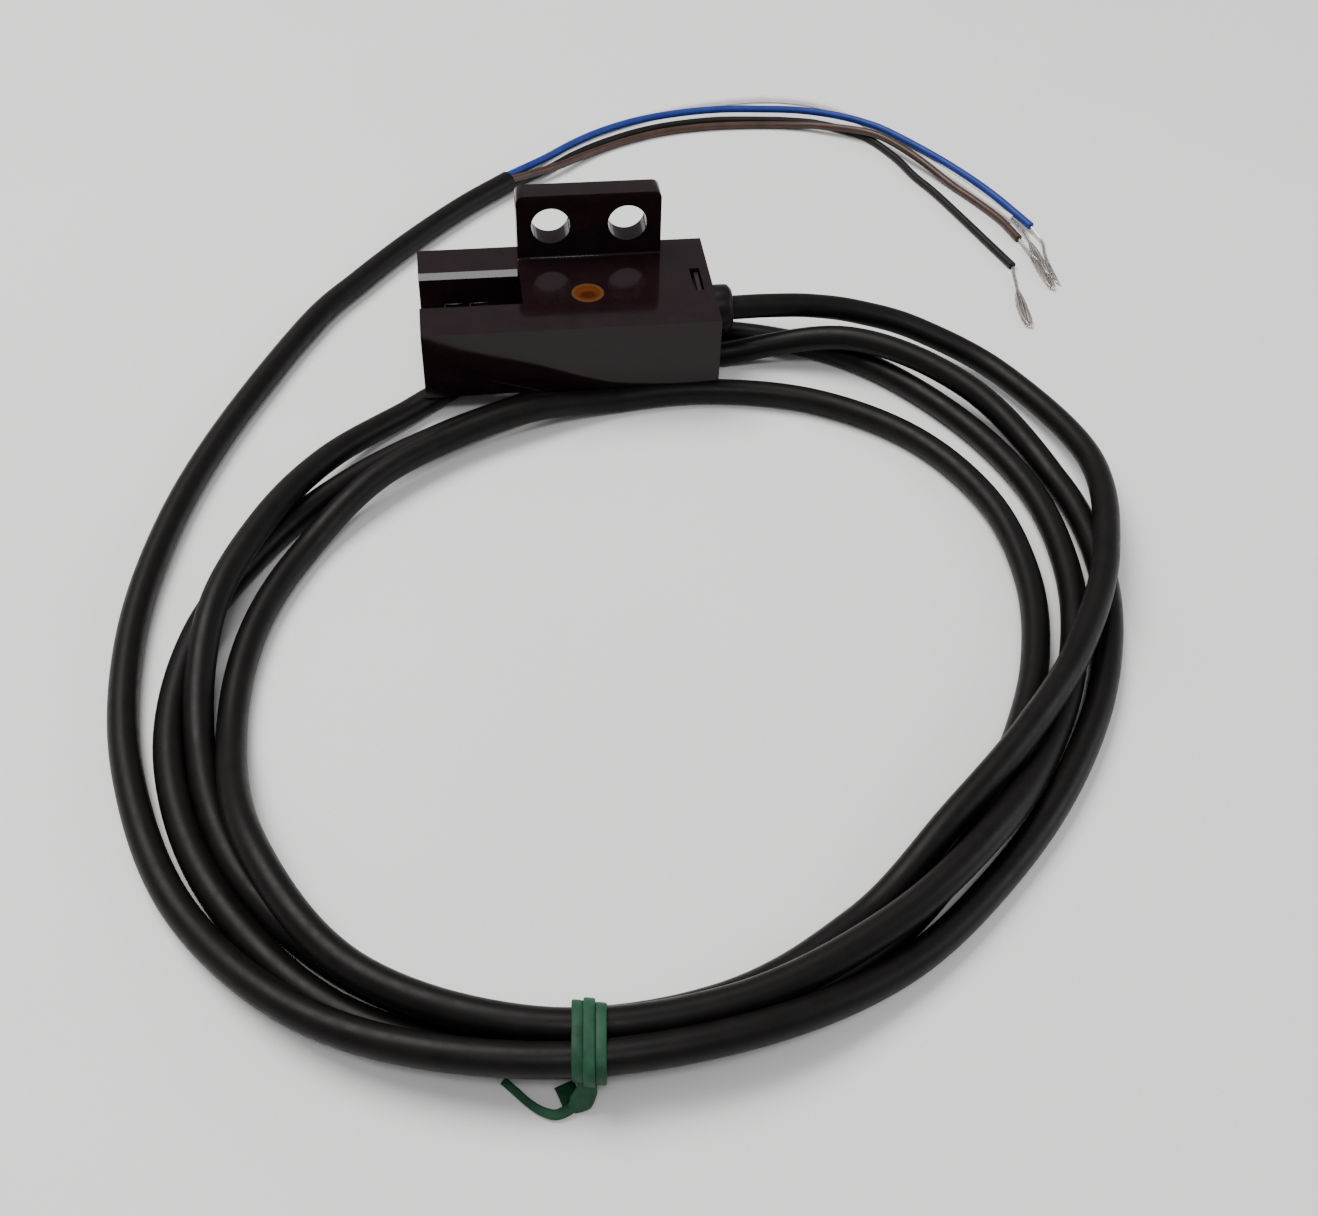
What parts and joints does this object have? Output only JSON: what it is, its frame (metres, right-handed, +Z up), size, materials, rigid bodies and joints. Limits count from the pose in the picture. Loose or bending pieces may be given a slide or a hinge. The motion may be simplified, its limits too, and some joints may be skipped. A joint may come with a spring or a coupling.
{
  "type": "photoelectric sensor",
  "caption": "U-slot micro photoelectric sensor with an upright mounting tab, a round indicator window and a moulded-in four-core cable tied in a loose coil.",
  "frame": {"origin": "midway between the two mounting holes, at the back face of the tab", "axes": "+X along the body from the sensing slot to the cable, +Y to the back with the mounting tab, +Z up out of the top face with the indicator"},
  "size_m": [0.0875, 0.1235, 0.015],
  "materials": {
    "housing_plastic": "smooth, slightly glossy moulding",
    "cover_plastic": "fine satin",
    "amber_lens": "translucent, polished",
    "window_plastic": "polished infrared filter",
    "emitter_resin": "clear tinted resin",
    "tinned_lead": "tinned",
    "receiver_resin": "dark filter resin",
    "board_laminate": "solder mask",
    "chip_resin": "moulded resin",
    "resistor_body": "fired film",
    "capacitor_ceramic": "ceramic",
    "led_resin": "clear resin",
    "solder": "bright solder",
    "bushing_rubber": "matte",
    "clamp_steel": "plated",
    "core_brown": "smooth vinyl",
    "core_blue": "smooth vinyl",
    "core_black": "smooth vinyl",
    "core_white": "smooth vinyl",
    "jacket_pvc": "satin vinyl",
    "tinned_strands": "twisted and tinned",
    "tie_elastic": "smooth elastic"
  },
  "bodies": {
    "root": {"housing": "housing_plastic", "base_cover": "cover_plastic", "indicator_lens": "amber_lens", "emitter_window": "window_plastic", "receiver_window": "window_plastic", "ir_emitter": "emitter_resin", "emitter_leads": "tinned_lead", "photo_receiver": "receiver_resin", "receiver_leads": "tinned_lead", "circuit_board": "board_laminate", "signal_ic": "chip_resin", "output_transistor": "chip_resin", "chip_resistors": "resistor_body", "chip_capacitors": "capacitor_ceramic", "indicator_led": "led_resin", "solder_joints": "solder", "cable_bushing": "bushing_rubber", "cable_clamp": "clamp_steel", "inner_core_brown": "core_brown", "inner_core_blue": "core_blue", "inner_core_black": "core_black", "inner_core_white": "core_white", "cable_entry": "jacket_pvc", "cable_lead": "jacket_pvc", "cable_turn_1": "jacket_pvc", "cable_turn_2": "jacket_pvc", "cable_turn_3": "jacket_pvc", "cable_turn_4": "jacket_pvc", "cable_tail": "jacket_pvc", "core_brown": "core_brown", "core_blue": "core_blue", "core_black": "core_black", "core_white": "core_white", "strand_end_brown": "tinned_strands", "strand_end_blue": "tinned_strands", "strand_end_black": "tinned_strands", "strand_end_white": "tinned_strands", "coil_tie": "tie_elastic", "tie_tail": "tie_elastic"}
  },
  "joints": []
}
